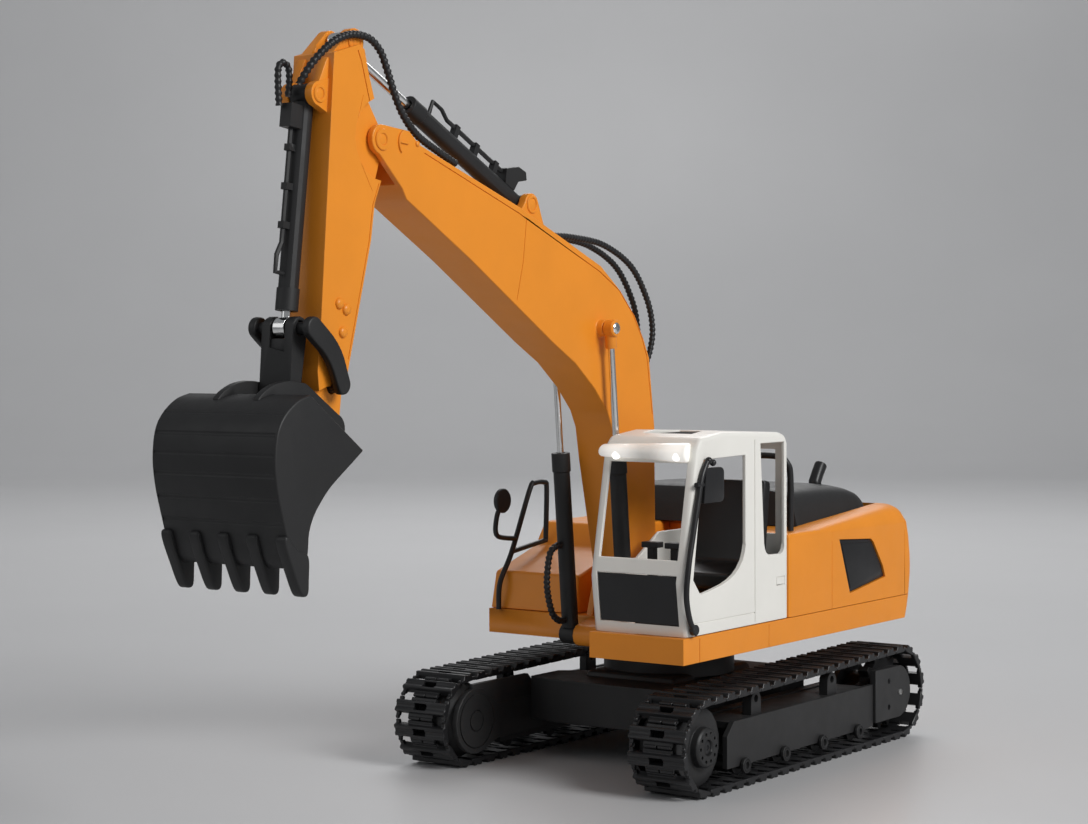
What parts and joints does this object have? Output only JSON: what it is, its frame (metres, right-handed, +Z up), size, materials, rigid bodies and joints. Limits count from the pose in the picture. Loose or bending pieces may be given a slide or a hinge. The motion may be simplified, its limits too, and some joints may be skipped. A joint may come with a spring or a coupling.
{
  "type": "remote-controlled crawler excavator",
  "caption": "Toy crawler excavator with tracks, slewing house, cab, cranked boom, stick and toothed bucket moved by coupled cylinders.",
  "frame": {"origin": "on the ground under the middle of the machine's bounding box", "axes": "+X to the machine's left, the cab's side; +Y rearwards; +Z up; the boom reaches to -Y"},
  "size_m": [0.156, 0.428, 0.3152],
  "materials": {
    "orange": "satin moulded plastic",
    "cream": "satin moulded plastic",
    "black": "matt moulded plastic",
    "dark": "matt moulded plastic",
    "grey": "matt moulded plastic",
    "hose": "matt corrugated hose",
    "rod": "polished",
    "motor": "plated can"
  },
  "bodies": {
    "undercarriage": {"chassis_frame": "grey", "track_frame_left": "grey", "track_frame_right": "grey", "track_belt_left": "black", "track_belt_right": "black", "drive_cover_left": "grey", "drive_cover_right": "grey", "drive_motor_left": "motor", "drive_motor_right": "motor", "battery_cover": "grey"},
    "power_switch": {"power_switch": "black"},
    "sprocket_left": {"sprocket_left": "dark"},
    "idler_left": {"idler_left": "dark"},
    "roller_left_1": {"bottom_roller_left_1": "dark"},
    "roller_left_2": {"bottom_roller_left_2": "dark"},
    "roller_left_3": {"bottom_roller_left_3": "dark"},
    "roller_left_4": {"bottom_roller_left_4": "dark"},
    "sprocket_right": {"sprocket_right": "dark"},
    "idler_right": {"idler_right": "dark"},
    "roller_right_1": {"bottom_roller_right_1": "dark"},
    "roller_right_2": {"bottom_roller_right_2": "dark"},
    "roller_right_3": {"bottom_roller_right_3": "dark"},
    "roller_right_4": {"bottom_roller_right_4": "dark"},
    "upper": {"deck": "orange", "house_shell": "orange", "engine_hood": "dark", "exhaust_pipe": "black", "right_tank": "orange", "side_grille": "dark", "cab_shell": "cream", "cab_seat": "black", "cab_levers": "black", "light_bar": "cream", "roof_hatch": "dark", "lower_windscreen": "dark", "cab_rail": "black", "tank_rail": "black", "rear_rail": "black", "battery_pack": "grey", "slew_motor": "motor", "control_board": "grey"},
    "boom": {"boom": "orange", "boom_hose_left": "hose", "boom_hose_right": "hose"},
    "boom_barrel_left": {"boom_barrel_left": "dark"},
    "boom_barrel_right": {"boom_barrel_right": "dark", "foot_lead": "hose"},
    "boom_rod_left": {"boom_rod_left": "rod"},
    "boom_rod_right": {"boom_rod_right": "rod"},
    "stick": {"stick": "orange", "stick_lead": "hose"},
    "stick_barrel": {"stick_barrel": "dark"},
    "stick_rod": {"stick_rod": "rod"},
    "bucket_barrel": {"bucket_barrel": "dark", "bucket_lead": "hose"},
    "bucket_rod": {"bucket_rod": "rod"},
    "rocker": {"rocker": "dark"},
    "bucket_link": {"bucket_link": "dark"},
    "bucket": {"bucket": "dark"}
  },
  "joints": [
    {"name": "slew", "type": "hinge", "parent": "undercarriage", "child": "upper", "pos_m": [0, 0.094, 0.0563], "axis": [0, 0, 1], "range_deg": [-340, 340]},
    {"name": "boom_lift", "type": "hinge", "parent": "upper", "child": "boom", "pos_m": [0, 0.058, 0.08], "axis": [1, 0, 0], "range_deg": [-3, 38]},
    {"name": "stick_crowd", "type": "hinge", "parent": "boom", "child": "stick", "pos_m": [0, -0.1282, 0.2731], "axis": [1, 0, 0], "range_deg": [-30, 30], "deforming": ["stick_lead"]},
    {"name": "bucket_curl", "type": "hinge", "parent": "stick", "child": "bucket", "pos_m": [0, -0.159, 0.161], "axis": [1, 0, 0], "range_deg": [-5, 95]},
    {"name": "boom_barrel_tilt_left", "type": "hinge", "parent": "upper", "child": "boom_barrel_left", "pos_m": [0.0154, 0.035, 0.06], "axis": [1, 0, 0], "range_deg": [-3, 35.2]},
    {"name": "boom_rod_stroke_left", "type": "slide", "parent": "boom_barrel_left", "child": "boom_rod_left", "axis": [0, -0.0892, 0.996], "range_m": [-0.0186, 0.0016]},
    {"name": "boom_barrel_tilt_right", "type": "hinge", "parent": "upper", "child": "boom_barrel_right", "pos_m": [-0.0154, 0.035, 0.06], "axis": [1, 0, 0], "range_deg": [-3, 35.2]},
    {"name": "boom_rod_stroke_right", "type": "slide", "parent": "boom_barrel_right", "child": "boom_rod_right", "axis": [0, -0.0892, 0.996], "range_m": [-0.0186, 0.0016]},
    {"name": "stick_barrel_tilt", "type": "hinge", "parent": "boom", "child": "stick_barrel", "pos_m": [0, -0.0264, 0.2524], "axis": [1, 0, 0], "range_deg": [-7, 7]},
    {"name": "stick_rod_stroke", "type": "slide", "parent": "stick_barrel", "child": "stick_rod", "axis": [0, -0.8943, 0.4475], "range_m": [-0.0142, 0.0142]},
    {"name": "bucket_barrel_tilt", "type": "hinge", "parent": "stick", "child": "bucket_barrel", "pos_m": [0, -0.1623, 0.2883], "axis": [1, 0, 0], "range_deg": [-2, 0.2]},
    {"name": "bucket_rod_stroke", "type": "slide", "parent": "bucket_barrel", "child": "bucket_rod", "axis": [0, -0.1306, -0.9914], "range_m": [-0.0019, 0.0356]},
    {"name": "rocker_swing", "type": "hinge", "parent": "stick", "child": "rocker", "pos_m": [0, -0.1569, 0.1768], "axis": [1, 0, 0], "range_deg": [-4.2, 77.8]},
    {"name": "link_swing", "type": "hinge", "parent": "rocker", "child": "bucket_link", "pos_m": [0, -0.174, 0.1995], "axis": [1, 0, 0], "range_deg": [-39.7, 2.2]},
    {"name": "drive_left", "type": "hinge", "parent": "undercarriage", "child": "sprocket_left", "pos_m": [0.0638, 0.1833, 0.0227], "axis": [1, 0, 0], "continuous": true},
    {"name": "idler_turn_left", "type": "hinge", "parent": "undercarriage", "child": "idler_left", "pos_m": [0.0638, 0.0047, 0.0213], "axis": [1, 0, 0], "continuous": true},
    {"name": "roller_turn_left_1", "type": "hinge", "parent": "undercarriage", "child": "roller_left_1", "pos_m": [0.0638, 0.0384, 0.0086], "axis": [1, 0, 0], "continuous": true},
    {"name": "roller_turn_left_2", "type": "hinge", "parent": "undercarriage", "child": "roller_left_2", "pos_m": [0.0638, 0.0732, 0.0086], "axis": [1, 0, 0], "continuous": true},
    {"name": "roller_turn_left_3", "type": "hinge", "parent": "undercarriage", "child": "roller_left_3", "pos_m": [0.0638, 0.108, 0.0086], "axis": [1, 0, 0], "continuous": true},
    {"name": "roller_turn_left_4", "type": "hinge", "parent": "undercarriage", "child": "roller_left_4", "pos_m": [0.0638, 0.1428, 0.0086], "axis": [1, 0, 0], "continuous": true},
    {"name": "drive_right", "type": "hinge", "parent": "undercarriage", "child": "sprocket_right", "pos_m": [-0.0638, 0.1833, 0.0227], "axis": [1, 0, 0], "continuous": true},
    {"name": "idler_turn_right", "type": "hinge", "parent": "undercarriage", "child": "idler_right", "pos_m": [-0.0638, 0.0047, 0.0213], "axis": [1, 0, 0], "continuous": true},
    {"name": "roller_turn_right_1", "type": "hinge", "parent": "undercarriage", "child": "roller_right_1", "pos_m": [-0.0638, 0.0384, 0.0086], "axis": [1, 0, 0], "continuous": true},
    {"name": "roller_turn_right_2", "type": "hinge", "parent": "undercarriage", "child": "roller_right_2", "pos_m": [-0.0638, 0.0732, 0.0086], "axis": [1, 0, 0], "continuous": true},
    {"name": "roller_turn_right_3", "type": "hinge", "parent": "undercarriage", "child": "roller_right_3", "pos_m": [-0.0638, 0.108, 0.0086], "axis": [1, 0, 0], "continuous": true},
    {"name": "roller_turn_right_4", "type": "hinge", "parent": "undercarriage", "child": "roller_right_4", "pos_m": [-0.0638, 0.1428, 0.0086], "axis": [1, 0, 0], "continuous": true},
    {"name": "switch_push", "type": "slide", "parent": "undercarriage", "child": "power_switch", "axis": [-1, 0, 0], "range_m": [0, 0.003]}
  ],
  "couplings": [
    {"joint": "boom_barrel_tilt_left", "follows": "boom_lift", "ratio": 0.92},
    {"joint": "boom_rod_stroke_left", "follows": "boom_lift", "m_per_rad": -0.0275},
    {"joint": "boom_barrel_tilt_right", "follows": "boom_lift", "ratio": 0.92},
    {"joint": "boom_rod_stroke_right", "follows": "boom_lift", "m_per_rad": -0.0275},
    {"joint": "stick_barrel_tilt", "follows": "stick_crowd", "ratio": 0.22},
    {"joint": "stick_rod_stroke", "follows": "stick_crowd", "m_per_rad": 0.02664},
    {"joint": "bucket_barrel_tilt", "follows": "bucket_curl", "ratio": -0.0201},
    {"joint": "bucket_rod_stroke", "follows": "bucket_curl", "m_per_rad": 0.02137},
    {"joint": "rocker_swing", "follows": "bucket_curl", "ratio": 0.817},
    {"joint": "link_swing", "follows": "bucket_curl", "ratio": -0.416},
    {"joint": "idler_turn_left", "follows": "drive_left", "ratio": 1.0787},
    {"joint": "roller_turn_left_1", "follows": "drive_left", "ratio": 4},
    {"joint": "roller_turn_left_2", "follows": "drive_left", "ratio": 4},
    {"joint": "roller_turn_left_3", "follows": "drive_left", "ratio": 4},
    {"joint": "roller_turn_left_4", "follows": "drive_left", "ratio": 4},
    {"joint": "idler_turn_right", "follows": "drive_right", "ratio": 1.0787},
    {"joint": "roller_turn_right_1", "follows": "drive_right", "ratio": 4},
    {"joint": "roller_turn_right_2", "follows": "drive_right", "ratio": 4},
    {"joint": "roller_turn_right_3", "follows": "drive_right", "ratio": 4},
    {"joint": "roller_turn_right_4", "follows": "drive_right", "ratio": 4}
  ]
}
